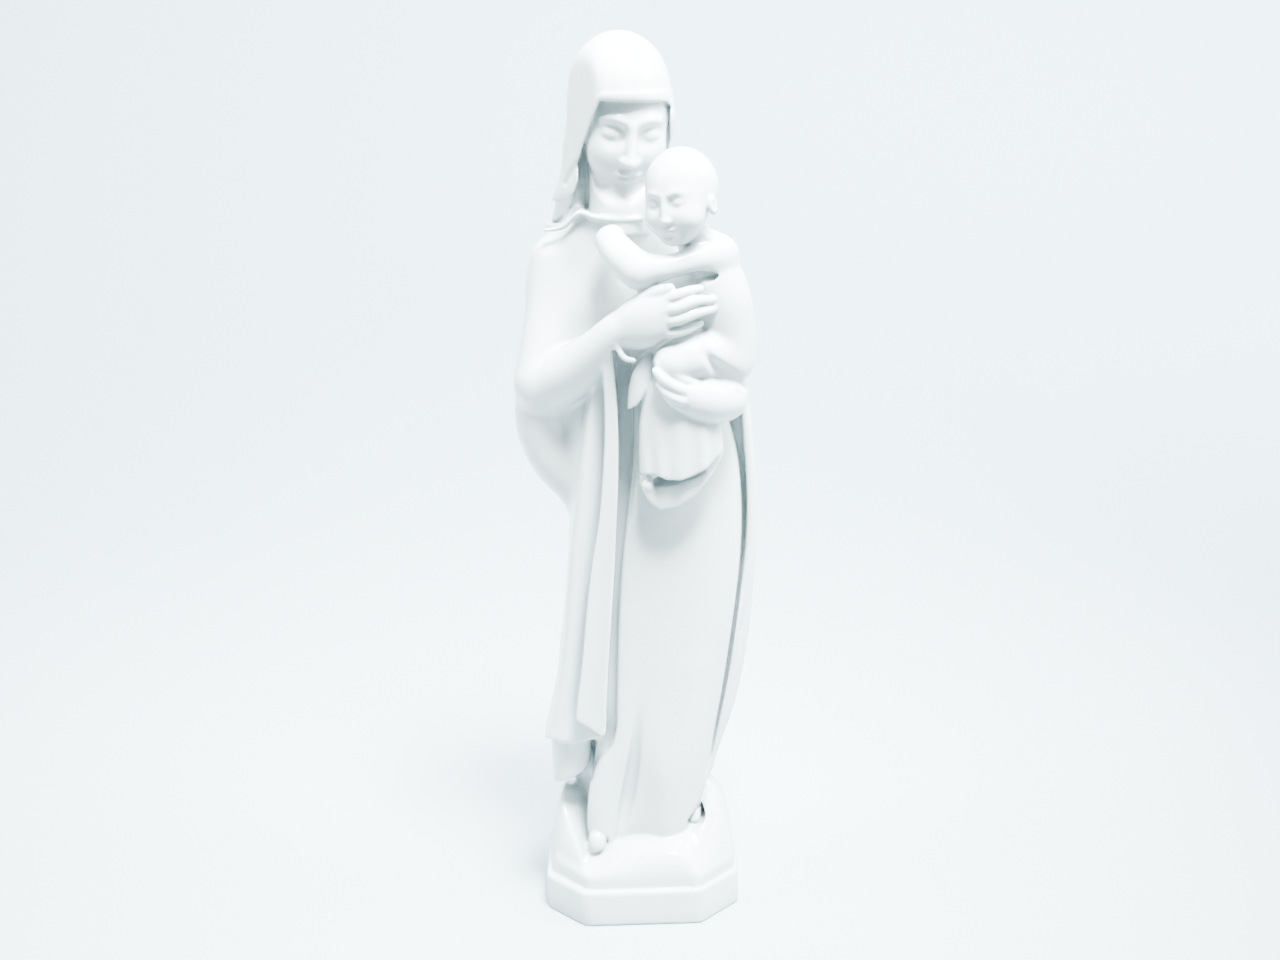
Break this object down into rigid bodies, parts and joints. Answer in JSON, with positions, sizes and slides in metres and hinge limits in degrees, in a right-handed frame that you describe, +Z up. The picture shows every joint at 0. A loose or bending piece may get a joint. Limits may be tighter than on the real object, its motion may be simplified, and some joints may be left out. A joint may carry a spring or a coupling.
{
  "type": "virgin and child statue",
  "caption": "Standing virgin in veil and cloak holding a child on her left arm, one white glazed casting on a low rock with an eight-sided plinth.",
  "frame": {"origin": "middle of the plinth's flat underside", "axes": "+Z up, -Y the way she faces, +X to the viewer's right"},
  "size_m": [0.1017, 0.0891, 0.38],
  "materials": {
    "white_glaze": "white glazed porcelain, smooth and glossy"
  },
  "bodies": {
    "root": {"virgin_and_child": "white_glaze"}
  },
  "joints": []
}
